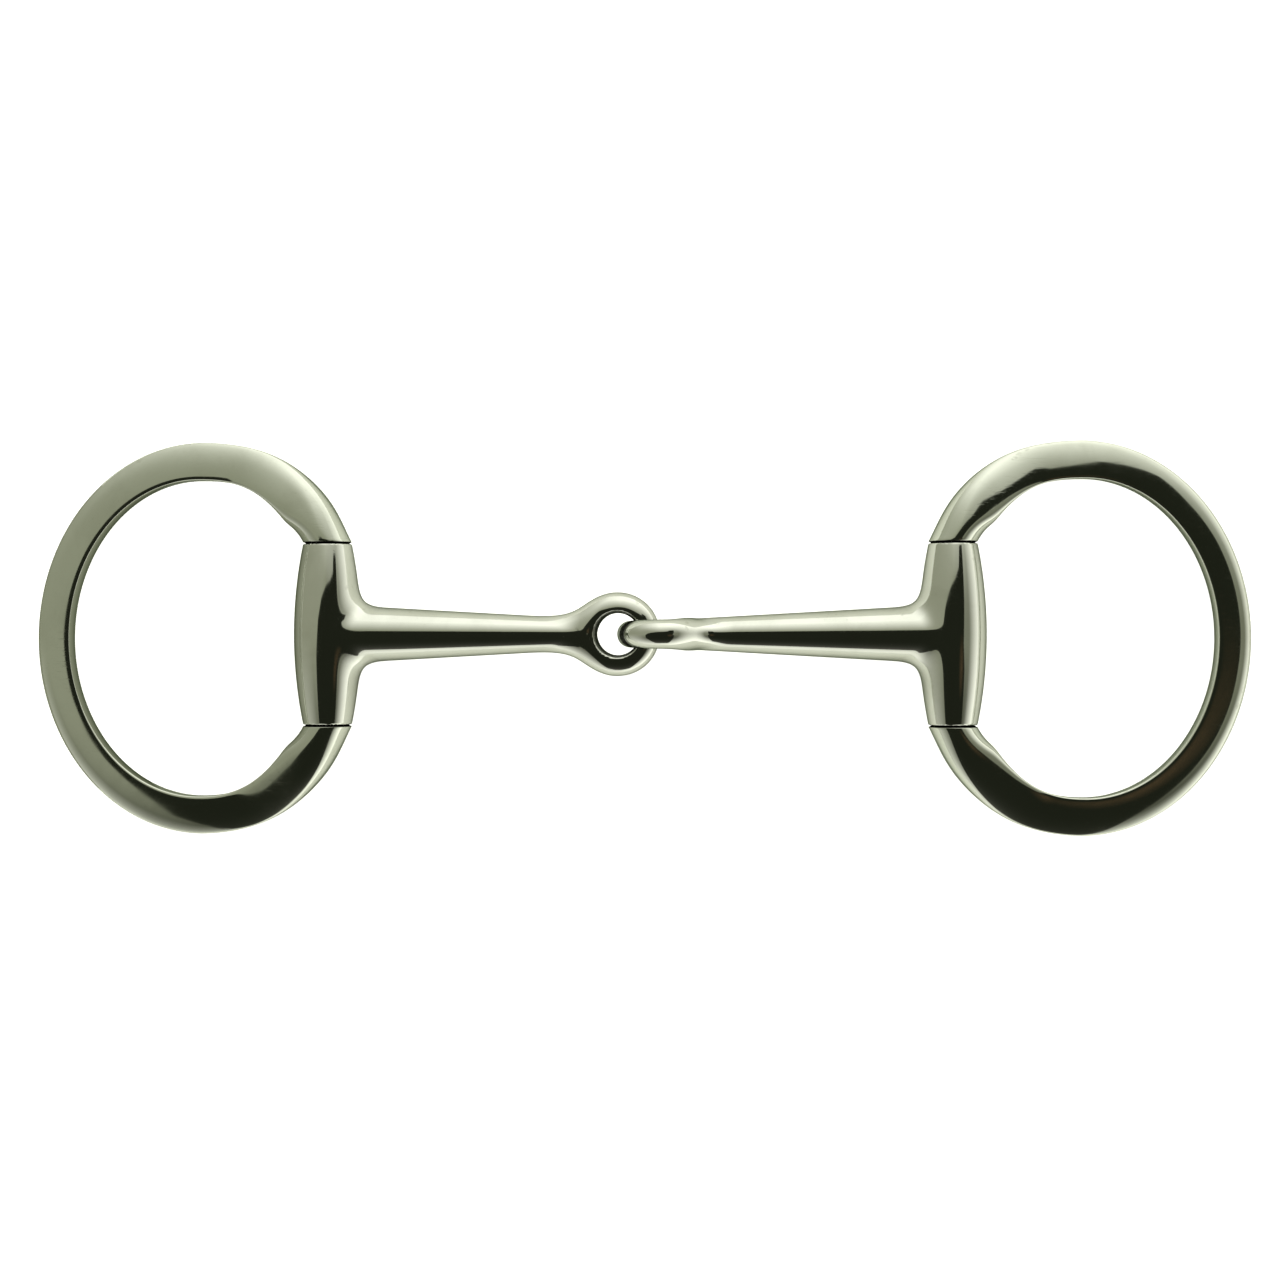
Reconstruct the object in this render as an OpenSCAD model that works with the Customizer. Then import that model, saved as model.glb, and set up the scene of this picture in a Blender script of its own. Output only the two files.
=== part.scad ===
// Eggbutt snaffle bit: a single-jointed mouthpiece with flat cheek rings.
// It lies flat: X runs along the mouthpiece, Y along the barrels and Z up from the table.

/* [Mouthpiece arms] */
// Length of an arm, from the barrel's axis to the centre of its eye
arm_len = 65.5; // [60:0.5:75]
// Diameter of an arm at the barrel's axis
arm_root_d = 13.6; // [12:0.1:14.4]
// Diameter of an arm at its neck, just behind the eye
arm_neck_d = 7.2; // [6.4:0.1:8]
// Radius of the web that fills the corner between arm and barrel
root_fillet_r = 5; // [3:0.5:7]

/* [Linked eyes] */
// Diameter of the hole through an eye
eye_hole_d = 9.3; // [9:0.1:10]
// Width of an eye's rod, measured in the plane of the eye
eye_rod_w = 4.7; // [4.2:0.1:4.8]
// Thickness of an eye's rod, measured across the plane of the eye
eye_rod_t = 5.8; // [5:0.1:6]
// Play between the two linked eyes when the bit is pulled straight
eye_play = 0.15; // [0.1:0.05:0.4]

/* [Barrels] */
// Length of a barrel
barrel_len = 40.5; // [36:0.5:44]
// Diameter of a barrel at its ends
barrel_end_d = 10.9; // [10.5:0.1:12]
// Diameter of a barrel at its middle
barrel_mid_d = 15; // [14.6:0.1:16]
// Gap between a barrel's end and the ring's shoulder
seam_gap = 0.4; // [0.3:0.05:0.6]

/* [Cheek rings] */
// Reach of a ring, from the barrel's axis to its far outer edge
ring_reach = 67.1; // [60:0.5:70]
// Height of a ring, along the barrel's axis
ring_height = 88.4; // [84:0.5:94]
// Width of the ring's flat at the far side
ring_far_w = 7.7; // [7:0.1:9]
// Width of the ring's flat at its top and bottom
ring_side_w = 8.6; // [8:0.1:9.6]
// Thickness of the ring's flat
ring_t = 4.5; // [4:0.1:5]

/* [Pivot pins] */
// Diameter of a pivot pin
pin_d = 4.5; // [4:0.1:4.8]
// Radial clearance of a pin in the barrel's bore
pin_clearance = 0.04; // [0.02:0.01:0.08]
// Depth to which a pin is pressed into the ring's shoulder
pin_in_ring = 4; // [3:0.5:4.5]
// Length of a pin inside the barrel's bore
pin_in_barrel = 8; // [6:0.5:10]

/* [Hidden] */
$fn = 64;

// Linked eyes: hole radius, rod centreline radius and outer radius.
eye_hole_r = eye_hole_d / 2;
eye_mid_r = eye_hole_r + eye_rod_w / 2;
eye_outer_r = eye_hole_r + eye_rod_w;

// The bit lies pulled straight, so the two far rods all but touch inside each other's hole.
// The right cannon folds about a Y axis, (eye_rod_t - eye_rod_w) / 2 beyond the centreline
// of the left eye's far rod, where the oval rods clear each other at every fold angle.
eye_spacing = 2 * eye_hole_r - eye_play;
eye_steps = 32;

// The barrels, the upright eye and the rings' far rims all rest on the table,
// with the middle of a rim's rounded edge a little above it.
barrel_z = barrel_mid_d / 2;
arm_slope = asin((eye_outer_r - barrel_z) / arm_len);
barrel_x = eye_spacing / 2 + arm_len * cos(arm_slope);
rim_lift = 0.12;
ring_droop = asin((barrel_z - ring_t / 2 - rim_lift) / (ring_reach - ring_far_w / 2));

// Olive barrel: radius of the arc that joins the middle diameter to the end diameter.
barrel_half = barrel_len / 2;
barrel_bulge = (barrel_mid_d - barrel_end_d) / 2;
barrel_arc_r = (barrel_half * barrel_half + barrel_bulge * barrel_bulge) / (2 * barrel_bulge);
bore_end_play = 0.5;
bore_depth = pin_in_barrel + bore_end_play - seam_gap;

// Arm and neck stations, measured from the barrel's axis.
neck_at = arm_len - eye_outer_r;
neck_end = arm_len - eye_mid_r;
neck_tip_d = 5;
neck_fillet_r = 14;
neck_web_t = 4.6;
root_web_t = 6;
web_steps = 8;
overlap = 0.5;

// Steel tones: the bright mouthpiece, the duller ring flats and the pins hidden in the seams.
bright_steel = [0.7, 0.71, 0.68];
ring_steel = [0.55, 0.57, 0.52];
dull_steel = [0.4, 0.4, 0.4];

// Ring centreline: an ellipse, cut off at the two shoulders that face the barrel's ends.
ring_half_h = (ring_height - ring_side_w) / 2;
shoulder_v = barrel_half + seam_gap;
shoulder_angle = 180 - asin(shoulder_v / ring_half_h);
ring_half_u = (ring_reach - ring_far_w / 2) / (1 - cos(shoulder_angle));
// The flat section starts to swell into the round shoulder at this angle.
swell_angle = 98;
turn_angle = 132;
flat_power = 3.2;
round_power = 2;
ring_stations = 60;
ring_sides = 20;

function ease(t) = t <= 0 ? 0 : t >= 1 ? 1 : t * t * (3 - 2 * t);
function share(a, from) = ease((abs(a) - from) / (shoulder_angle - from));
function mix(a, b, t) = a + (b - a) * t;
function signed_power(v, p) = sign(v) * pow(abs(v), p);

// Ring centreline and the direction of the section's width, in the ring's own plane.
function ring_point(a) = [ring_half_u * (cos(a) - cos(shoulder_angle)), ring_half_h * sin(a)];
function ring_normal(a) =
    let (n = [ring_half_h * cos(a), ring_half_u * sin(a)])
    n / norm(n);
function ring_across(a) =
    let (k = share(a, turn_angle), n = ring_normal(a) * (1 - k) + [-1, 0] * k)
    n / norm(n);
function ring_flat_w(a) = mix(ring_side_w, ring_far_w, max(0, cos(a)));
function ring_w(a) = mix(ring_flat_w(a), barrel_end_d, share(a, swell_angle));
function ring_thick(a) = mix(ring_t, barrel_end_d, share(a, swell_angle));
function ring_power(a) = mix(flat_power, round_power, share(a, swell_angle));

// One section of the ring: a rounded flat that becomes a circle at the shoulders.
function ring_section(a) =
    let (p = ring_point(a), w = ring_across(a), e = 2 / ring_power(a))
    [for (i = [0 : ring_sides - 1])
        let (t = 360 * i / ring_sides,
             across = signed_power(cos(t), e) * ring_w(a) / 2,
             up = signed_power(sin(t), e) * ring_thick(a) / 2)
        [p[0] + w[0] * across, p[1] + w[1] * across, up]];

// Half profile of the olive barrel, flat at both ends.
module barrel_profile() {
    intersection() {
        translate([barrel_z - barrel_arc_r, 0]) circle(r = barrel_arc_r, $fn = 720);
        translate([0, -barrel_half]) square([barrel_z, barrel_len]);
    }
}

module barrel() {
    rotate([90, 0, 0]) rotate_extrude() barrel_profile();
}

module barrel_bores() {
    for (side = [-1, 1])
        translate([0, side * (barrel_half + overlap), 0])
            rotate([side * 90, 0, 0])
                cylinder(h = bore_depth + overlap, r = pin_d / 2 + pin_clearance);
}

module arm() {
    rotate([0, 90, 0]) cylinder(h = neck_at, d1 = arm_root_d, d2 = arm_neck_d);
    translate([neck_at, 0, 0]) rotate([0, 90, 0])
        cylinder(h = neck_end - neck_at, d1 = arm_neck_d, d2 = neck_tip_d);
}

// Web between arm and barrel: a block with a concave corner on each side of the arm.
module root_web() {
    web_x = barrel_z + root_fillet_r;
    corner_y = arm_root_d / 2 + root_fillet_r - overlap;
    web_y = corner_y - overlap;
    linear_extrude(height = root_web_t, center = true)
        difference() {
            translate([0, -web_y]) square([web_x, 2 * web_y]);
            for (side = [-1, 1])
                translate([web_x, side * corner_y]) circle(r = root_fillet_r);
        }
}

// Flare from the arm's neck into the eye, tangent to both.
module neck_web() {
    cy = arm_neck_d / 2 + neck_fillet_r;
    reach = eye_outer_r + neck_fillet_r;
    cx = arm_len - sqrt(reach * reach - cy * cy);
    end_angle = asin((arm_len - cx) / reach);
    arc = [for (i = [0 : web_steps])
        let (t = end_angle * i / web_steps)
        [cx + neck_fillet_r * sin(t), cy - neck_fillet_r * cos(t)]];
    mirrored = [for (i = [web_steps : -1 : 0]) [arc[i][0], -arc[i][1]]];
    linear_extrude(height = neck_web_t, center = true) polygon(concat(arc, mirrored));
}

module eye() {
    translate([arm_len, 0, 0])
        rotate_extrude()
            polygon([for (i = [0 : eye_steps - 1])
                let (t = 360 * i / eye_steps)
                [eye_mid_r + eye_rod_w / 2 * cos(t), eye_rod_t / 2 * sin(t)]]);
}

// One cannon, with its arm along +X; the eye is rolled about the arm.
module cannon(eye_roll) {
    difference() {
        union() {
            barrel();
            arm();
            root_web();
            rotate([eye_roll, 0, 0]) {
                neck_web();
                eye();
            }
        }
        barrel_bores();
    }
}

module ring_body() {
    n = ring_sides;
    angles = [for (i = [0 : ring_stations]) shoulder_angle * (2 * i / ring_stations - 1)];
    points = [for (a = angles) each ring_section(a)];
    walls = [for (i = [0 : ring_stations - 1], j = [0 : n - 1])
        let (k = (j + 1) % n)
        [i * n + j, i * n + k, (i + 1) * n + k, (i + 1) * n + j]];
    first_cap = [for (j = [n - 1 : -1 : 0]) j];
    last_cap = [for (j = [0 : n - 1]) ring_stations * n + j];
    polyhedron(points = points, faces = concat(walls, [first_cap, last_cap]), convexity = 4);
}

// A cheek ring about its barrel's axis, with its reach along +X and a blind hole in each shoulder.
module ring() {
    difference() {
        ring_body();
        for (side = [-1, 1])
            translate([0, side * (shoulder_v - overlap), 0])
                rotate([-side * 90, 0, 0]) cylinder(h = pin_in_ring + overlap, d = pin_d);
    }
}

// A pivot pin, seated in the ring's shoulder on the +Y side or the -Y side.
module pin(side) {
    pin_len = pin_in_barrel + pin_in_ring;
    translate([0, side * (shoulder_v + pin_in_ring), 0])
        rotate([side * 90, 0, 0]) cylinder(h = pin_len, d = pin_d);
}

// The barrels' places on the table: the arms rise to the joint, and the rings droop outward.
module on_left_arm() {
    translate([-barrel_x, 0, barrel_z]) rotate([0, -arm_slope, 0]) children();
}

module on_right_arm() {
    mirror([1, 0, 0]) on_left_arm() children();
}

module on_left_ring() {
    translate([-barrel_x, 0, barrel_z]) rotate([0, -ring_droop, 0]) mirror([1, 0, 0]) children();
}

module on_right_ring() {
    mirror([1, 0, 0]) on_left_ring() children();
}

module left_cannon() color(bright_steel) on_left_arm() cannon(0);
module right_cannon() color(bright_steel) on_right_arm() cannon(90);
module left_cheek_ring() color(ring_steel) on_left_ring() ring();
module right_cheek_ring() color(ring_steel) on_right_ring() ring();
module left_upper_pin() color(dull_steel) on_left_ring() pin(1);
module left_lower_pin() color(dull_steel) on_left_ring() pin(-1);
module right_upper_pin() color(dull_steel) on_right_ring() pin(1);
module right_lower_pin() color(dull_steel) on_right_ring() pin(-1);

left_cannon();
right_cannon();
left_cheek_ring();
right_cheek_ring();
left_upper_pin();
left_lower_pin();
right_upper_pin();
right_lower_pin();
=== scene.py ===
import math
import bpy
import numpy as np
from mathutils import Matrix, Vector


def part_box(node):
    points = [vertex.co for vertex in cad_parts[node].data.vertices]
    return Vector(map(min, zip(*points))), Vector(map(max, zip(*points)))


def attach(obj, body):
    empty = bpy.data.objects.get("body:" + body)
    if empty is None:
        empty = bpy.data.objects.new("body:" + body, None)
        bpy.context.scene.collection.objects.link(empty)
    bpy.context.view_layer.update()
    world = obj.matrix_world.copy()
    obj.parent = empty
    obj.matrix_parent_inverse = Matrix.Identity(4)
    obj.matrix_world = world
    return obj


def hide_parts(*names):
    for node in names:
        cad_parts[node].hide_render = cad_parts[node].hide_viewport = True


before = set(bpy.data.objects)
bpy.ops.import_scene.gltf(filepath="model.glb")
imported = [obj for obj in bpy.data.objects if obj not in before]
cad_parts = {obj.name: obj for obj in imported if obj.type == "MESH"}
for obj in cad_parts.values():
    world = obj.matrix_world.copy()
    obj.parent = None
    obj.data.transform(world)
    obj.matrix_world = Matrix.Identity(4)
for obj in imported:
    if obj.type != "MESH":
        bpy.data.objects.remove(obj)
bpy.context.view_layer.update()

mm = 0.001


# places, read from the frame

pinLow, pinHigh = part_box("right_upper_pin")
barrelX = (pinLow[0] + pinHigh[0]) / 2
barrelZ = (pinLow[2] + pinHigh[2]) / 2
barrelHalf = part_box("right_cannon")[1][1]
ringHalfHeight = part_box("right_cheek_ring")[1][1]


# small helpers for node trees

class Flow:
    # one number on its way through a node tree, so that a formula reads as a formula
    def __init__(self, tree, socket):
        self.tree = tree
        self.socket = socket

    def step(self, operation, *others):
        node = self.tree.nodes.new("ShaderNodeMath")
        node.operation = operation
        for slot, value in zip(node.inputs, (self,) + others):
            if isinstance(value, Flow):
                self.tree.links.new(value.socket, slot)
            else:
                slot.default_value = value
        return Flow(self.tree, node.outputs[0])

    def __add__(self, other):
        return self.step("ADD", other)

    def __sub__(self, other):
        return self.step("SUBTRACT", other)

    def __mul__(self, other):
        return self.step("MULTIPLY", other)

    def __truediv__(self, other):
        return self.step("DIVIDE", other)

    def __pow__(self, other):
        return self.step("POWER", other)

    def rest(self):
        return self * -1.0 + 1.0

    def clamp(self):
        return self.step("MAXIMUM", 0.0).step("MINIMUM", 1.0)

    def ease(self):
        t = self.clamp()
        return t * t * (t * -2.0 + 3.0)

    def mix(self, other, share):
        return self + (other - self) * share

    def above(self, threshold, gain):
        return ((self - threshold) * gain).clamp()


def addSockets(tree, wanted, side):
    sockets = {}
    for name, kind, value in wanted:
        socket = tree.interface.new_socket(name=name, in_out=side, socket_type=kind)
        if value is not None:
            socket.default_value = value
        sockets[name] = socket
    return sockets


def shaderGroup(name, inputs, outputs):
    tree = bpy.data.node_groups.new(name, "ShaderNodeTree")
    addSockets(tree, inputs, "INPUT")
    addSockets(tree, outputs, "OUTPUT")
    return tree, tree.nodes.new("NodeGroupInput"), tree.nodes.new("NodeGroupOutput")


def addNoise(tree, place, **values):
    node = tree.nodes.new("ShaderNodeTexNoise")
    tree.links.new(place, node.inputs["Vector"])
    for key, value in values.items():
        node.inputs[key].default_value = value
    return node


def mixColors(tree, first, second, share, clamped=True):
    node = tree.nodes.new("ShaderNodeMix")
    node.data_type = "RGBA"
    node.clamp_factor = clamped
    for slot, color in (("A", first), ("B", second)):
        if isinstance(color, tuple):
            node.inputs[slot].default_value = color + (1.0,)
        else:
            tree.links.new(color, node.inputs[slot])
    tree.links.new(share.socket, node.inputs["Factor"])
    return node.outputs["Result"]


# steel finishes

def makeScratches():
    # hair-fine polishing lines that run along one direction, in patches
    tree, given, out = shaderGroup("fineScratches", [
        ("Vector", "NodeSocketVector", None),
        ("Across", "NodeSocketFloat", 4000.0),
        ("Along", "NodeSocketFloat", 60.0),
        ("Patches", "NodeSocketFloat", 90.0)], [
        ("Lines", "NodeSocketFloat", None)])
    stretch = tree.nodes.new("ShaderNodeCombineXYZ")
    tree.links.new(given.outputs["Along"], stretch.inputs[0])
    tree.links.new(given.outputs["Across"], stretch.inputs[1])
    tree.links.new(given.outputs["Across"], stretch.inputs[2])
    scaled = tree.nodes.new("ShaderNodeVectorMath")
    scaled.operation = "MULTIPLY"
    tree.links.new(given.outputs["Vector"], scaled.inputs[0])
    tree.links.new(stretch.outputs[0], scaled.inputs[1])
    hairs = addNoise(tree, scaled.outputs[0], Scale=1.0, Detail=3.0)
    patches = addNoise(tree, given.outputs["Vector"], Detail=2.0)
    tree.links.new(given.outputs["Patches"], patches.inputs["Scale"])
    lines = Flow(tree, hairs.outputs["Fac"]).above(0.56, 7.0)
    where = Flow(tree, patches.outputs["Fac"]).above(0.4, 4.0)
    tree.links.new((lines * where).socket, out.inputs["Lines"])
    return tree


def makeSmudges():
    # dull clouds that hands and leather leave on polished steel
    tree, given, out = shaderGroup("handlingSmudges", [
        ("Vector", "NodeSocketVector", None),
        ("Size", "NodeSocketFloat", 70.0),
        ("Speck Fineness", "NodeSocketFloat", 22.0)], [
        ("Clouds", "NodeSocketFloat", None),
        ("Specks", "NodeSocketFloat", None)])
    clouds = addNoise(tree, given.outputs["Vector"], Detail=5.0, Roughness=0.62, Distortion=0.6)
    specks = addNoise(tree, given.outputs["Vector"], Detail=1.0)
    size = Flow(tree, given.outputs["Size"])
    tree.links.new(size.socket, clouds.inputs["Scale"])
    tree.links.new((size * Flow(tree, given.outputs["Speck Fineness"])).socket, specks.inputs["Scale"])
    soft = Flow(tree, clouds.outputs["Fac"]).above(0.45, 3.5)
    dots = Flow(tree, specks.outputs["Fac"]).above(0.68, 9.0)
    tree.links.new(soft.socket, out.inputs["Clouds"])
    tree.links.new((dots * soft).socket, out.inputs["Specks"])
    return tree


def makeWaviness():
    # the slow unevenness that hand polishing leaves, which makes reflections swim a little
    tree, given, out = shaderGroup("polishWaves", [
        ("Vector", "NodeSocketVector", None),
        ("Size", "NodeSocketFloat", 55.0)], [
        ("Height", "NodeSocketFloat", None)])
    slow = addNoise(tree, given.outputs["Vector"], Detail=1.5)
    tree.links.new(given.outputs["Size"], slow.inputs["Scale"])
    tree.links.new(slow.outputs["Fac"], out.inputs["Height"])
    return tree


def makeSeamShade():
    # painted shade: a black line painted into the gap between a ring's shoulder and its barrel, where shade
    # falls
    tree, given, out = shaderGroup("paintedSeamShade", [
        ("Vector", "NodeSocketVector", None),
        ("Barrel X", "NodeSocketFloat", 0.07),
        ("Barrel End", "NodeSocketFloat", 0.02),
        ("Seam", "NodeSocketFloat", 0.0004),
        ("Reach", "NodeSocketFloat", 0.007)], [
        ("Seam Shade", "NodeSocketFloat", None)])
    spot = tree.nodes.new("ShaderNodeSeparateXYZ")
    tree.links.new(given.outputs["Vector"], spot.inputs[0])
    seam = Flow(tree, given.outputs["Seam"])
    fromMiddle = Flow(tree, spot.outputs[0]).step("ABSOLUTE")
    aside = (fromMiddle - Flow(tree, given.outputs["Barrel X"])).step("ABSOLUTE")
    seamMiddle = Flow(tree, given.outputs["Barrel End"]) + seam * 0.5
    off = (Flow(tree, spot.outputs[1]).step("ABSOLUTE") - seamMiddle).step("ABSOLUTE")
    inSeam = (off / seam).above(0.78, -7.0)
    atBarrel = (aside - Flow(tree, given.outputs["Reach"])).above(0.0, -2.0 / mm)
    tree.links.new((inSeam * atBarrel).socket, out.inputs["Seam Shade"])
    return tree


def makeEdgeWear():
    # rubbed, duller metal along the sharp edges, broken up so that it never runs as a clean line
    tree, given, out = shaderGroup("edgeWear", [
        ("Vector", "NodeSocketVector", None),
        ("Threshold", "NodeSocketFloat", 0.53),
        ("Gain", "NodeSocketFloat", 14.0),
        ("Raggedness", "NodeSocketFloat", 900.0)], [
        ("Wear", "NodeSocketFloat", None)])
    sharp = Flow(tree, tree.nodes.new("ShaderNodeNewGeometry").outputs["Pointiness"])
    broken = addNoise(tree, given.outputs["Vector"], Detail=3.0)
    tree.links.new(given.outputs["Raggedness"], broken.inputs["Scale"])
    edge = ((sharp - Flow(tree, given.outputs["Threshold"])) * Flow(tree, given.outputs["Gain"])).clamp()
    ragged = Flow(tree, broken.outputs["Fac"]).above(0.38, 4.0)
    tree.links.new((edge * ragged).socket, out.inputs["Wear"])
    return tree


groups = dict(
    paintedShade=makeSeamShade(), wear=makeEdgeWear(), scratches=makeScratches(),
    smudges=makeSmudges(), waves=makeWaviness())

finishes = dict(
    cannonSteel=dict(
        color=(0.80, 0.81, 0.77), dull=(0.60, 0.61, 0.55), rimShadeTint=(0.26, 0.29, 0.24),
        rough=0.055, scratch=0.05, smudge=0.05, waves=0.00005,
        along=55.0, across=3600.0, lineDepth=0.0000016, size=75.0),
    ringSteel=dict(
        color=(0.78, 0.80, 0.74), dull=(0.58, 0.59, 0.52), rimShadeTint=(0.26, 0.29, 0.24),
        rough=0.065, scratch=0.07, smudge=0.06, waves=0.00010,
        along=240.0, across=2600.0, lineDepth=0.0000022, size=60.0),
    # painted shade: the pins are painted dark so that the seam between ring and barrel reads as shade
    pinSteel=dict(
        color=(0.30, 0.30, 0.28), dull=(0.16, 0.16, 0.14), rimShadeTint=(0.5, 0.5, 0.5),
        rough=0.32, scratch=0.2, smudge=0.2, waves=0.00004,
        along=3200.0, across=400.0, lineDepth=0.000006, size=240.0))

# how much the real wear dulls and roughens the steel, and how dark and rough the painted shade in the seams
# and the eye's hole is
wearAndShadeShares = dict(
    cloudDull=0.35, speckDull=0.4, lineDull=0.12, edgeDull=0.6,
    speckRough=0.15, edgeRough=0.12, paintedShadeRough=0.5,
    paintedShadeColor=(0.012, 0.012, 0.010), holeShadeMost=0.9)


def makeSteel(name, finish):
    material = bpy.data.materials.new(name)
    material.use_nodes = True
    tree = material.node_tree
    shader = tree.nodes["Principled BSDF"]
    shader.inputs["Metallic"].default_value = 1.0
    # painted shade: a dark specular tint darkens the steel toward its silhouettes, standing in for the
    # shaded floor mirrored there
    shader.inputs["Specular Tint"].default_value = finish["rimShadeTint"] + (1.0,)
    where = tree.nodes.new("ShaderNodeTexCoord").outputs["Object"]

    def place(group, **values):
        node = tree.nodes.new("ShaderNodeGroup")
        node.node_tree = groups[group]
        tree.links.new(where, node.inputs["Vector"])
        for key, value in values.items():
            node.inputs[key].default_value = value
        return node

    scratches = place("scratches", Across=finish["across"], Along=finish["along"])
    smudges = place("smudges", Size=finish["size"])
    waves = place("waves")
    worn = Flow(tree, place("wear").outputs["Wear"])
    # painted shade: the seam gap and the inside of the eye's hole are painted near black and rougher
    seams = place("paintedShade")
    seams.inputs["Barrel X"].default_value = barrelX
    seams.inputs["Barrel End"].default_value = barrelHalf
    holeShade = tree.nodes.new("ShaderNodeAttribute")
    holeShade.attribute_name = "holeShade"
    holeShaded = Flow(tree, holeShade.outputs["Fac"]) * wearAndShadeShares["holeShadeMost"]
    paintedShade = Flow(tree, seams.outputs["Seam Shade"]).step("MAXIMUM", holeShaded)
    lines = Flow(tree, scratches.outputs["Lines"])
    clouds = Flow(tree, smudges.outputs["Clouds"])
    specks = Flow(tree, smudges.outputs["Specks"])

    dulled = clouds * wearAndShadeShares["cloudDull"] + specks * wearAndShadeShares["speckDull"]
    dulled = dulled + lines * wearAndShadeShares["lineDull"] + worn * wearAndShadeShares["edgeDull"]
    metal = mixColors(tree, finish["color"], finish["dull"], dulled.clamp())
    # painted shade: the metal colour is mixed toward near black where the seam and hole shade is painted
    shadedMetal = mixColors(tree, metal, wearAndShadeShares["paintedShadeColor"], paintedShade)
    tree.links.new(shadedMetal, shader.inputs["Base Color"])
    roughness = lines * finish["scratch"] + clouds * finish["smudge"] + finish["rough"]
    roughness = roughness + specks * wearAndShadeShares["speckRough"] + worn * wearAndShadeShares["edgeRough"]
    tree.links.new((roughness + paintedShade * wearAndShadeShares["paintedShadeRough"]).socket, shader.inputs["Roughness"])

    height = Flow(tree, waves.outputs["Height"]) * finish["waves"] + lines * -finish["lineDepth"]
    bump = tree.nodes.new("ShaderNodeBump")
    bump.inputs["Distance"].default_value = 1.0
    tree.links.new(height.socket, bump.inputs["Height"])
    tree.links.new(bump.outputs["Normal"], shader.inputs["Normal"])
    return material


steels = {name: makeSteel(name, finish) for name, finish in finishes.items()}
print("steel finishes ready")


# cheek rings

ringShape = dict(
    reach=67.1 * mm, farWidth=7.7 * mm, sideWidth=8.6 * mm, thickness=4.5 * mm, shoulderWidth=10.9 * mm,
    seam=0.4 * mm, boss=0.33 * mm, bossShare=0.93, outerRound=6.0, innerEdge=16.0,
    crown=0.68, bevel=2.6, bevelFrom=0.62, sag=0.9 * mm, corner=0.7 * mm,
    deepenFrom=103.0, swellFrom=96.0, turnFrom=130.0, roundFrom=113.0, fullness=2.6,
    rimLift=0.12 * mm, stations=420, sides=72, capShare=0.036)


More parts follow.
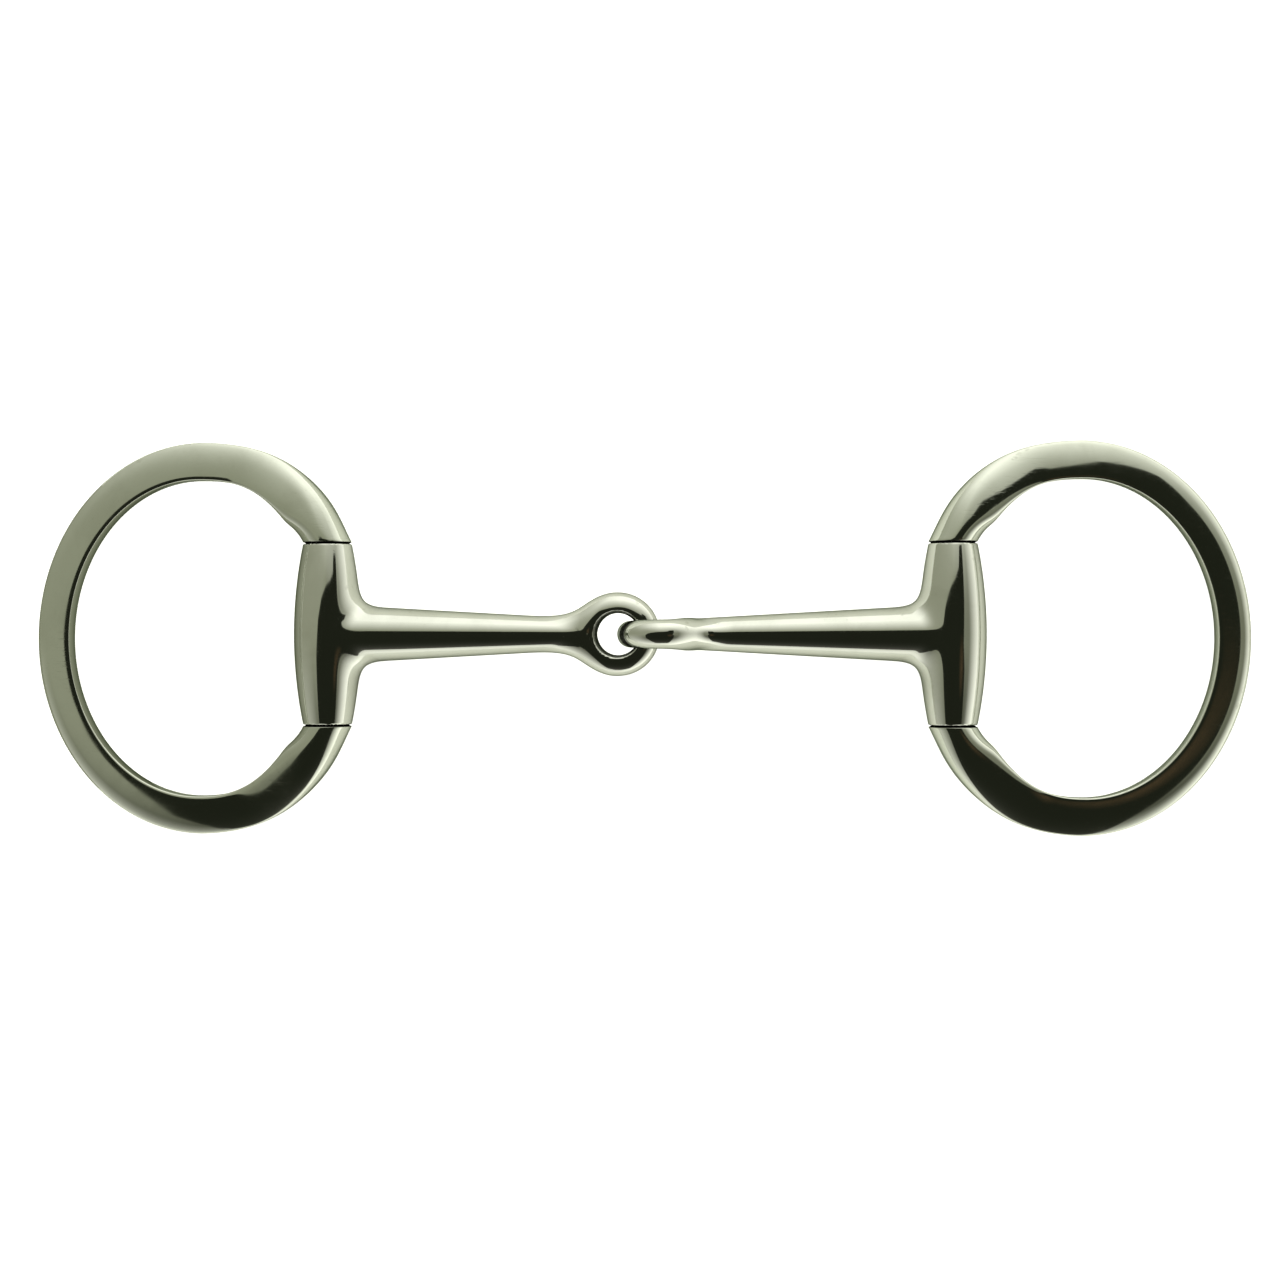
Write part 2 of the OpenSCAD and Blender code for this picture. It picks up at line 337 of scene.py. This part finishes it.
def ringTree(steel):
    tree = bpy.data.node_groups.new("cheekRing", "GeometryNodeTree")
    names = ["Half Length", "Half Height", "Shoulder Angle", "Far Width", "Side Width", "Thickness",
             "Shoulder Width", "Boss", "Boss Share", "Outer Round", "Inner Edge",
             "Crown", "Bevel", "Bevel From", "Sag", "Corner",
             "Deepen From", "Swell From", "Round From", "Fullness", "Turn From",
             "Cap Share", "Droop", "Side", "Barrel X", "Barrel Z"]
    wanted = [(name, "NodeSocketFloat", 0.0) for name in names]
    wanted += [("Stations", "NodeSocketInt", 200), ("Sides", "NodeSocketInt", 40)]
    wanted += [("Steel", "NodeSocketMaterial", None)]
    addSockets(tree, wanted, "INPUT")
    addSockets(tree, [("Geometry", "NodeSocketGeometry", None)], "OUTPUT")
    given = tree.nodes.new("NodeGroupInput")
    g = {name: Flow(tree, given.outputs[name]) for name in names}

    grid = tree.nodes.new("GeometryNodeMeshGrid")
    tree.links.new(given.outputs["Stations"], grid.inputs["Vertices X"])
    tree.links.new(given.outputs["Sides"], grid.inputs["Vertices Y"])
    spot = tree.nodes.new("ShaderNodeSeparateXYZ")
    tree.links.new(tree.nodes.new("GeometryNodeInputPosition").outputs[0], spot.inputs[0])
    along = Flow(tree, spot.outputs[0]) * 2.0
    around = (Flow(tree, spot.outputs[1]) + 0.5) * (2 * math.pi)

    # the last stations at each end close the shoulder with a flat face and the low boss round its pin
    reached = along.step("ABSOLUTE")
    body = g["Cap Share"].rest()
    cap = ((reached - body) / g["Cap Share"]).clamp()
    capShrink = (cap * cap).rest()
    onBoss = g["Boss Share"].step("GREATER_THAN", capShrink)
    angle = (along / body).step("MAXIMUM", -1.0).step("MINIMUM", 1.0) * g["Shoulder Angle"]
    side = angle.step("SIGN")
    turned = angle.step("ABSOLUTE")

    swell = ((turned - g["Swell From"]) / (g["Shoulder Angle"] - g["Swell From"])).ease()
    deepening = ((turned - g["Deepen From"]) / (g["Shoulder Angle"] - g["Deepen From"])).ease()
    rounding = ((turned - g["Round From"]) / (g["Shoulder Angle"] - g["Round From"])).ease()
    square = ((turned - g["Turn From"]) / (g["Shoulder Angle"] - g["Turn From"])).ease()

    # centreline, and the direction of the section's width
    out = (angle.step("COSINE") - g["Shoulder Angle"].step("COSINE")) * g["Half Length"]
    # the forged oval hangs a little low on its barrel and is fuller at its corners than an ellipse
    turning = (turned - math.pi / 2) / (g["Shoulder Angle"] - math.pi / 2)
    corner = (turning.clamp() * math.pi).step("SINE")
    lean = side * corner * corner * g["Corner"] - turning.ease().rest() * g["Sag"]
    up = angle.step("SINE") * g["Half Height"] + lean - side * onBoss * g["Boss"]
    normalOut = angle.step("COSINE") * g["Half Height"]
    normalUp = angle.step("SINE") * g["Half Length"]
    size = (normalOut * normalOut + normalUp * normalUp).step("SQRT")
    acrossOut = normalOut / size * square.rest() - square
    acrossUp = normalUp / size * square.rest()
    size = (acrossOut * acrossOut + acrossUp * acrossUp).step("SQRT")

    # section: flat with a crisp inner edge and a rounded outer one, swelling to a circle
    flatWidth = g["Side Width"].mix(g["Far Width"], angle.step("COSINE").step("MAXIMUM", 0.0))
    width = flatWidth.mix(g["Shoulder Width"], swell)
    s = around.step("COSINE").rest() * 0.5
    outer = (s ** g["Outer Round"]).rest().clamp() ** (g["Outer Round"].step("POWER", -1.0))
    inner = (s.rest().clamp() ** g["Inner Edge"]).rest().clamp() ** (g["Inner Edge"].step("POWER", -1.0))
    # the far side is flat with a bevelled outer edge, and the top and bottom are crowned instead
    rise = angle.step("SINE") * angle.step("SINE")
    pastBevel = (s - g["Bevel From"]).step("MAXIMUM", 0.0)
    drop = s * s * rise * g["Crown"] + pastBevel * pastBevel * rise.rest() * g["Bevel"]
    flatUp = outer * inner * drop.rest()
    # the swelling part is a full oval that becomes a circle only at the seam
    oval = rounding.rest() * g["Fullness"] + 2.0
    roundUp = (around.step("COSINE").step("ABSOLUTE") ** oval).rest().clamp() ** oval.step("POWER", -1.0)
    deep = g["Thickness"].mix(g["Shoulder Width"], deepening) * 0.5
    lift = flatUp.mix(roundUp, rounding) * deep * around.step("SINE").step("SIGN") * capShrink
    reachAcross = (s - 0.5) * width * capShrink

    out = out + acrossOut / size * reachAcross
    up = up + acrossUp / size * reachAcross
    droopCos = g["Droop"].step("COSINE")
    droopSin = g["Droop"].step("SINE")
    x = (g["Barrel X"] + out * droopCos + lift * droopSin) * g["Side"]
    z = g["Barrel Z"] - out * droopSin + lift * droopCos

    place = tree.nodes.new("ShaderNodeCombineXYZ")
    for socket, value in zip(place.inputs, (x, up, z)):
        tree.links.new(value.socket, socket)
    move = tree.nodes.new("GeometryNodeSetPosition")
    tree.links.new(grid.outputs["Mesh"], move.inputs["Geometry"])
    tree.links.new(place.outputs[0], move.inputs["Position"])
    weld = tree.nodes.new("GeometryNodeMergeByDistance")
    weld.inputs["Distance"].default_value = 0.001 * mm
    smooth = tree.nodes.new("GeometryNodeSetShadeSmooth")
    realize = tree.nodes.new("GeometryNodeRealizeInstances")
    coat = tree.nodes.new("GeometryNodeSetMaterial")
    tree.links.new(given.outputs["Steel"], coat.inputs["Material"])
    result = tree.nodes.new("NodeGroupOutput")
    chain = [move, weld, smooth, realize, coat]
    for first, second in zip(chain, chain[1:]):
        tree.links.new(first.outputs[0], second.inputs[0])
    tree.links.new(coat.outputs[0], result.inputs[0])
    return tree


def plainMesh(holder, name):
    # turns what a modifier makes into a mesh of its own, with its place in its points
    ready = holder.evaluated_get(bpy.context.evaluated_depsgraph_get())
    mesh = bpy.data.meshes.new_from_object(ready)
    mesh.name = name
    bpy.data.objects.remove(holder)
    piece = bpy.data.objects.new(name, mesh)
    bpy.context.collection.objects.link(piece)
    return piece


def makeRing(name, tree, sign):
    shape = ringShape
    halfHeight = ringHalfHeight - shape["sideWidth"] / 2
    shoulder = math.pi - math.asin((barrelHalf + shape["seam"]) / halfHeight)
    farMiddle = shape["reach"] - shape["farWidth"] / 2
    halfLength = farMiddle / (1 - math.cos(shoulder))
    farDrop = barrelZ - shape["thickness"] / 2 - shape["rimLift"]
    values = {
        "Half Length": halfLength, "Half Height": halfHeight, "Shoulder Angle": shoulder,
        "Far Width": shape["farWidth"], "Side Width": shape["sideWidth"], "Thickness": shape["thickness"],
        "Shoulder Width": shape["shoulderWidth"], "Boss": shape["boss"], "Boss Share": shape["bossShare"],
        "Crown": shape["crown"], "Bevel": shape["bevel"], "Bevel From": shape["bevelFrom"],
        "Sag": shape["sag"], "Corner": shape["corner"],
        "Outer Round": shape["outerRound"], "Inner Edge": shape["innerEdge"],
        "Deepen From": math.radians(shape["deepenFrom"]), "Swell From": math.radians(shape["swellFrom"]),
        "Round From": math.radians(shape["roundFrom"]), "Turn From": math.radians(shape["turnFrom"]),
        "Fullness": shape["fullness"],
        "Cap Share": shape["capShare"], "Droop": math.asin(farDrop / farMiddle),
        "Side": float(sign), "Barrel X": barrelX, "Barrel Z": barrelZ,
        "Stations": shape["stations"], "Sides": shape["sides"] + 1, "Steel": steels["ringSteel"]}
    holder = bpy.data.objects.new(name, bpy.data.meshes.new(name))
    bpy.context.collection.objects.link(holder)
    modifier = holder.modifiers.new("ring", "NODES")
    modifier.node_group = tree
    for item in tree.interface.items_tree:
        if item.in_out == "INPUT":
            modifier[item.identifier] = values[item.name]
    piece = plainMesh(holder, name)
    return faceOut(piece)


def faceOut(piece):
    # turns the faces outward if the closed shell came out inside out
    mesh = piece.data
    points = np.empty(len(mesh.vertices) * 3)
    mesh.vertices.foreach_get("co", points)
    points = points.reshape(-1, 3)
    mesh.calc_loop_triangles()
    corners = np.empty(len(mesh.loop_triangles) * 3, dtype=int)
    mesh.loop_triangles.foreach_get("vertices", corners)
    a, b, c = points[corners.reshape(-1, 3)].transpose(1, 0, 2)
    if np.einsum("ij,ij->i", a, np.cross(b, c)).sum() < 0:
        mesh.flip_normals()
    return piece


ringNodes = ringTree(steels["ringSteel"])
for sideName, sign in (("left", -1), ("right", 1)):
    ring = makeRing(sideName + "CheekRing", ringNodes, sign)
    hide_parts(sideName + "_cheek_ring")
    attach(ring, sideName + "_ring")
    print(ring.name, "made,", len(ring.data.polygons), "faces")


# cannons: arm, eye and olive barrel in one smooth casting

cannonShape = dict(
    armLength=65.5, barrelHalf=20.25, barrelMid=7.5, barrelEnd=5.45, barrelRim=0.16,
    rootRadius=6.75, neckRadius=3.55, neckAt=57.0,
    rootFillet=7.0, rootFilletTop=2.4, rootStart=2.8, armEnd=1.0,
    eyeFillet=8.0, eyeFilletTop=2.5, eyeCrest=-0.65, eyeRim=0.3, holeShadeReach=0.75, holeShadeFade=0.5,
    eyeRod=7.0, eyeRodWide=2.35, eyeRodDeep=2.95, eyeRodDeepNear=3.35,
    boreRadius=2.32, boreDepth=8.1, boreRim=0.15, grain=0.42, gridMargin=1.0, upright=False)
uprightEye = dict(upright=True, eyeCrest=-0.25, eyeFilletTop=1.7)


def softMin(a, b, k):
    h = np.maximum(k - np.abs(a - b), 0.0) / k
    return np.minimum(a, b) - h * h * h * k / 6


def softMax(a, b, k):
    return -softMin(-a, -b, k)


def cannonField(p, shape):
    # signed distance in millimetres, with the arm along +X and the eye lying in the XY plane
    x, y, z = p[:, 0], p[:, 1], p[:, 2]
    half = shape["barrelHalf"]
    bulge = shape["barrelMid"] - shape["barrelEnd"]
    arcRadius = (half * half + bulge * bulge) / (2 * bulge)
    fromAxis = np.hypot(x, z)
    olive = np.hypot(fromAxis + arcRadius - shape["barrelMid"], y) - arcRadius
    barrel = softMax(olive, np.abs(y) - half, shape["barrelRim"] * 2)

    share = np.clip(x / shape["neckAt"], 0.0, 1.0)
    armRadius = shape["rootRadius"] + (shape["neckRadius"] - shape["rootRadius"]) * share
    fromArm = np.hypot(y, z)
    end = shape["armLength"] - shape["eyeRod"]
    arm = softMax(fromArm - armRadius, np.maximum(x - end, -x), shape["armEnd"])

    sideways = (y * y) / np.maximum(fromArm * fromArm, 1e-6)
    rootSoft = shape["rootFilletTop"] + (shape["rootFillet"] - shape["rootFilletTop"]) * sideways ** 1.5
    ahead = np.clip(x / shape["rootStart"], 0.0, 1.0)
    body = softMin(barrel, arm, 0.02 + rootSoft * ahead * ahead * (3 - 2 * ahead))

    flat, thick = (z, y) if shape["upright"] else (y, z)
    ex = x - shape["armLength"]
    fromEye = np.hypot(ex, flat)
    nearness = 0.5 - 0.5 * ex / np.maximum(fromEye, 1e-6)
    deep = shape["eyeRodDeep"] + (shape["eyeRodDeepNear"] - shape["eyeRodDeep"]) * np.sqrt(nearness)
    wide = shape["eyeRodWide"]
    u = (fromEye - shape["eyeRod"]) / wide - shape["eyeCrest"]
    u = u / np.where(u > 0, 1 - shape["eyeCrest"], 1 + shape["eyeCrest"])
    w = thick / deep
    oval = np.sqrt(u * u + w * w) + 1e-9
    eye = oval * (oval - 1.0) / np.sqrt((u / wide) ** 2 + (w / deep) ** 2 + 1e-9)
    flatways = (flat * flat) / np.maximum(fromArm * fromArm, 1e-6)
    eyeSoft = shape["eyeFilletTop"] + (shape["eyeFillet"] - shape["eyeFilletTop"]) * flatways
    body = softMin(body, eye, eyeSoft)
    hole = shape["eyeRod"] - shape["eyeRodWide"] - fromEye
    body = softMax(body, hole, shape["eyeRim"])

    bore = np.maximum(fromAxis - shape["boreRadius"], half - shape["boreDepth"] - np.abs(y))
    return softMax(body, -bore, shape["boreRim"])


def fieldSlope(p, shape, step=0.02):
    slope = np.empty_like(p)
    for axis in range(3):
        ahead, behind = p.copy(), p.copy()
        ahead[:, axis] += step
        behind[:, axis] -= step
        slope[:, axis] = (cannonField(ahead, shape) - cannonField(behind, shape)) / (2 * step)
    return slope


def netOverField(low, high, grain, field):
    # one point in each grid cell that the surface crosses, and one quad over each crossed edge
    counts = [int(math.ceil((h - l) / grain)) + 1 for l, h in zip(low, high)]
    axes = [l + grain * np.arange(n) for l, n in zip(low, counts)]
    grid = np.stack(np.meshgrid(*axes, indexing="ij"), axis=-1)
    inside = field(grid.reshape(-1, 3)).reshape(counts) < 0
    total = np.zeros([n - 1 for n in counts], dtype=int)
    for i in (0, 1):
        for j in (0, 1):
            for k in (0, 1):
                total += inside[i:counts[0] - 1 + i, j:counts[1] - 1 + j, k:counts[2] - 1 + k]
    crossed = (total > 0) & (total < 8)
    number = -np.ones(crossed.shape, dtype=int)
    number[crossed] = np.arange(crossed.sum())
    cells = np.argwhere(crossed)
    points = np.array(low) + grain * (cells + 0.5)
    quads = []
    for axis in range(3):
        a, b = [d for d in range(3) if d != axis]
        first = np.take(inside, range(counts[axis] - 1), axis)
        second = np.take(inside, range(1, counts[axis]), axis)
        for edge in np.argwhere(first != second):
            around = []
            for da, db in ((-1, -1), (0, -1), (0, 0), (-1, 0)):
                cell = list(edge)
                cell[a] += da
                cell[b] += db
                around.append(number[tuple(cell)])
            if bool(inside[tuple(edge)]) == (axis == 1):
                around.reverse()
            quads.append(around)
    return points, np.array(quads)


def settle(points, shape, rounds):
    # walks each point down the slope onto the surface
    for _ in range(rounds):
        value = cannonField(points, shape)
        slope = fieldSlope(points, shape)
        steep = np.maximum((slope * slope).sum(axis=1), 0.05)
        points = points - slope * np.clip(value / steep, -0.3, 0.3)[:, None]
    return points


def relax(points, quads):
    # evens out the spacing of the points before they settle again
    count = np.zeros(len(points))
    total = np.zeros_like(points)
    for i in range(4):
        j = (i + 1) % 4
        np.add.at(total, quads[:, i], points[quads[:, j]])
        np.add.at(total, quads[:, j], points[quads[:, i]])
        np.add.at(count, quads[:, i], 1)
        np.add.at(count, quads[:, j], 1)
    return points * 0.4 + total / count[:, None] * 0.6


def cannonPoints(shape):
    eyeReach = shape["eyeRod"] + shape["eyeRodWide"]
    margin = shape["gridMargin"]
    low = (-shape["barrelMid"] - margin, -shape["barrelHalf"] - margin, -eyeReach - margin)
    high = (shape["armLength"] + eyeReach + margin, shape["barrelHalf"] + margin, eyeReach + margin)
    points, quads = netOverField(low, high, shape["grain"], lambda p: cannonField(p, shape))
    points = settle(points, shape, 6)
    for _ in range(3):
        points = settle(relax(points, quads), shape, 3)
    points = settle(points, shape, 4)
    slope = fieldSlope(points, shape)
    return points, quads, slope / np.linalg.norm(slope, axis=1)[:, None]


def makeCannon(name, sign, shape):
    points, quads, normals = cannonPoints(shape)
    # painted shade: the inside of the eye's hole is painted darker, where the linked eye shades it
    fromEye = np.hypot(points[:, 0] - shape["armLength"], points[:, 2 if shape["upright"] else 1])
    holeShadeEdge = shape["eyeRod"] - shape["eyeRodWide"] + shape["holeShadeReach"]
    holeShade = np.clip((holeShadeEdge - fromEye) / shape["holeShadeFade"], 0.0, 1.0)
    # the arm rises from the barrel to the linked eyes, because the upright eye stands on the table
    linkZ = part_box("right_cannon")[1][2] / 2
    lift = math.asin((linkZ - barrelZ) / mm / shape["armLength"])
    c, s = math.cos(lift), math.sin(lift)
    turn = np.array([[c, 0, -s], [0, 1, 0], [s, 0, c]])
    flip = np.array([-sign, 1, 1])
    points = (points @ turn.T) * flip * mm + np.array([sign * barrelX, 0, barrelZ])
    normals = (normals @ turn.T) * flip
    if sign > 0:
        quads = quads[:, ::-1]
    mesh = bpy.data.meshes.new(name)
    mesh.from_pydata(points.tolist(), [], quads.tolist())
    mesh.shade_smooth()
    mesh.normals_split_custom_set_from_vertices(normals.tolist())
    # painted shade in the eye's hole, kept on the points for the steel to read
    mesh.attributes.new("holeShade", "FLOAT", "POINT").data.foreach_set("value", holeShade)
    mesh.materials.append(steels["cannonSteel"])
    piece = bpy.data.objects.new(name, mesh)
    bpy.context.collection.objects.link(piece)
    return piece


for sideName, sign in (("left", -1), ("right", 1)):
    cannon = makeCannon(sideName + "Cannon", sign, dict(cannonShape, **(uprightEye if sign > 0 else {})))
    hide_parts(sideName + "_cannon")
    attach(cannon, sideName + "_cannon")
    print(cannon.name, "made,", len(cannon.data.polygons), "faces")

# painted shade: the pins take the dark pin steel, standing in for the shade inside the seams
for nodeName in ("left_upper_pin", "left_lower_pin", "right_upper_pin", "right_lower_pin"):
    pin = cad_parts[nodeName]
    for slot in pin.material_slots:
        slot.material = steels["pinSteel"]


# table, light and camera

studio = dict(
    floorSize=8.0, floorPaint=0.85, floorWhite=0.85, tentBoost=2.2, cardHeight=0.57, cardSoft=0.016,
    darkCorners=(
        (-0.39, -0.07), (-0.31, 0.04), (-0.20, 0.10), (-0.05, 0.135), (0.12, 0.16), (0.26, 0.20),
        (0.32, 0.28), (0.48, 0.32), (0.46, 0.12),
        (0.41, -0.03), (0.47, -0.12), (0.47, -1.6), (-0.18, -1.6), (-0.34, -0.52), (-0.41, -0.36)),
    matCorners=((-0.08, -0.022), (-0.08, 0.022), (-0.13, 0.04), (-1.0, 0.7), (-1.0, -0.7), (-0.13, -0.04)),
    dark=(0.014, 0.016, 0.010), dusk=(0.12, 0.12, 0.10),
    warm=(0.10, 0.066, 0.034), warmSpot=(0.33, -0.10), warmReach=0.11,
    glintWarmth=1.6, plainWarmth=0.35, duskFrom=-0.25, duskSpan=1.35,
    dim=(0.308, 0.322, 0.234), bright=(0.985, 1.0, 0.87),
    cameraHeight=0.556, cameraAside=0.020, cameraDown=-0.0013, lens=68.95)


def makeFlat(name, corners, height, material, soft=0.0):
    # a flat card; a soft one has a margin whose points carry a cover of nought
    points = [Vector((x, y, height)) for x, y in corners]
    count = len(points)
    faces = [tuple(range(count))]
    if soft:
        for i in range(count):
            before = (points[i] - points[i - 1]).normalized()
            after = (points[(i + 1) % count] - points[i]).normalized()
            side = Vector((-before.y - after.y, before.x + after.x, 0)).normalized()
            points.append(points[i] + side * soft / max(side.dot(Vector((-before.y, before.x, 0))), 0.3))
        faces += [(i, (i + 1) % count, (i + 1) % count + count, i + count) for i in range(count)]
    mesh = bpy.data.meshes.new(name)
    mesh.from_pydata([tuple(point) for point in points], [], faces)
    cover = mesh.attributes.new("cover", "FLOAT", "POINT")
    cover.data.foreach_set("value", [1.0] * count + [0.0] * (len(points) - count))
    mesh.materials.append(material)
    piece = bpy.data.objects.new(name, mesh)
    bpy.context.collection.objects.link(piece)
    return piece


def makeGlow(name, color, strength, paint=0.0):
    material = bpy.data.materials.new(name)
    material.use_nodes = True
    shader = material.node_tree.nodes["Principled BSDF"]
    shader.inputs["Base Color"].default_value = (paint, paint, paint, 1.0)
    shader.inputs["Roughness"].default_value = 1.0
    shader.inputs["Specular IOR Level"].default_value = 0.0
    shader.inputs["Emission Color"].default_value = color + (1.0,)
    shader.inputs["Emission Strength"].default_value = strength
    return material


def makeFloorPaint():
    # lifted to plain white for the eye, while the steel mirrors its soft shadows
    material = makeGlow("paleFloor", (1.0, 1.0, 0.99), 1.0, studio["floorPaint"])
    tree = material.node_tree
    seen = Flow(tree, tree.nodes.new("ShaderNodeLightPath").outputs["Is Camera Ray"])
    glow = seen * studio["floorWhite"]
    tree.links.new(glow.socket, tree.nodes["Principled BSDF"].inputs["Emission Strength"])
    return material


def makeDarkRoom():
    # the dark room overhead: soft at its edge, with a warm speckled corner
    material = makeGlow("darkRoom", studio["dark"], 1.0)
    tree = material.node_tree
    shader = tree.nodes["Principled BSDF"]
    place = tree.nodes.new("ShaderNodeNewGeometry").outputs["Position"]
    away = tree.nodes.new("ShaderNodeVectorMath")
    away.operation = "DISTANCE"
    away.inputs[1].default_value = (*studio["warmSpot"], studio["cardHeight"])
    tree.links.new(place, away.inputs[0])
    near = (Flow(tree, away.outputs["Value"]) / studio["warmReach"]).clamp().rest()
    specks = addNoise(tree, place, Scale=420.0, Detail=4.0)
    glint = Flow(tree, specks.outputs["Fac"]).above(0.52, 6.0)
    warmth = near * (glint * studio["glintWarmth"] + studio["plainWarmth"])
    room = mixColors(tree, studio["dark"], studio["warm"], warmth, clamped=False)
    spot = tree.nodes.new("ShaderNodeSeparateXYZ")
    tree.links.new(place, spot.inputs[0])
    forward = Flow(tree, spot.outputs[1]).above(studio["duskFrom"], -1.0 / studio["duskSpan"])
    tree.links.new(mixColors(tree, room, studio["dusk"], forward * forward), shader.inputs["Emission Color"])
    cover = tree.nodes.new("ShaderNodeAttribute")
    cover.attribute_name = "cover"
    tree.links.new(Flow(tree, cover.outputs["Fac"]).ease().socket, shader.inputs["Alpha"])
    return material


half = studio["floorSize"] / 2
makeFlat("floor", ((-half, -half), (half, -half), (half, half), (-half, half)), -0.05 * mm, makeFloorPaint())
darkRoom = makeDarkRoom()
darkCard = makeFlat("darkCard", studio["darkCorners"], studio["cardHeight"], darkRoom, studio["cardSoft"])
dimMat = makeFlat("dimMat", studio["matCorners"], 0.0, makeGlow("dimCloth", studio["dim"], 1.0))
for card in (darkCard, dimMat):
    card.visible_camera = False
    card.visible_diffuse = False
    card.visible_shadow = False


# where each bright side of the tent starts, as a share of the way down from overhead, and over what span
tent = dict(
    backFrom=0.17, backSpan=0.34, backMost=1.45, rightFrom=0.58, rightSpan=0.42, rightGain=1.1,
    frontFrom=0.50, frontSpan=0.40, leftHold=0.8,
    frontShade=1.25, frontShadeFrom=-0.05, rightShade=0.35, darkestShade=0.3)


def makeSurround():
    # a light tent: dim and grey-green overhead and to the left, bright low down on the other sides
    world = bpy.data.worlds.new("lightTent")
    bpy.context.scene.world = world
    world.use_nodes = True
    tree = world.node_tree
    spot = tree.nodes.new("ShaderNodeSeparateXYZ")
    tree.links.new(tree.nodes.new("ShaderNodeTexCoord").outputs["Generated"], spot.inputs[0])
    x, y, z = (Flow(tree, socket) for socket in spot.outputs)
    level = (x * x + y * y).step("SQRT").step("MAXIMUM", 0.001)
    right = (x / level).step("MAXIMUM", 0.0)
    back = (y / level).step("MAXIMUM", 0.0)
    front = (y / level * -1.0).step("MAXIMUM", 0.0)
    left = (x / level * -1.0).step("MAXIMUM", 0.0)
    low = z.step("ARCCOSINE") / (math.pi / 2)
    backClimb = ((low - tent["backFrom"]) / tent["backSpan"]).step("MAXIMUM", 0.0)
    backClimb = backClimb.step("MINIMUM", tent["backMost"])
    rightClimb = ((low - tent["rightFrom"]) / tent["rightSpan"]).clamp()
    frontClimb = ((low - tent["frontFrom"]) / tent["frontSpan"]).clamp()
    share = backClimb * back * back * (left * tent["leftHold"]).rest()
    share = share + rightClimb * right * tent["rightGain"] + frontClimb * front
    # the dim part itself is darker toward the front and the right
    forward = (y - tent["frontShadeFrom"]).step("MINIMUM", 0.0)
    shade = forward * tent["frontShade"] - right * tent["rightShade"] + 1.0
    shade = shade.step("MAXIMUM", tent["darkestShade"])
    dim = tree.nodes.new("ShaderNodeVectorMath")
    dim.operation = "SCALE"
    dim.inputs[0].default_value = studio["dim"]
    tree.links.new(shade.socket, dim.inputs["Scale"])
    color = mixColors(tree, dim.outputs[0], studio["bright"], share, clamped=False)
    tree.links.new(color, tree.nodes["Background"].inputs["Color"])
    spread = Flow(tree, tree.nodes.new("ShaderNodeLightPath").outputs["Is Diffuse Ray"])
    strength = spread * (studio["tentBoost"] - 1.0) + 1.0
    tree.links.new(strength.socket, tree.nodes["Background"].inputs["Strength"])


makeSurround()
bpy.context.scene.view_settings.view_transform = "Standard"

camera = bpy.data.objects.new("camera", bpy.data.cameras.new("camera"))
bpy.context.collection.objects.link(camera)
camera.data.lens = studio["lens"]
camera.data.clip_start = 0.01
camera.location = (studio["cameraAside"], studio["cameraDown"], studio["cameraHeight"])
camera.rotation_euler = (0.0, math.atan2(studio["cameraAside"], studio["cameraHeight"]), 0.0)
bpy.context.scene.camera = camera
print("table, light and camera set")
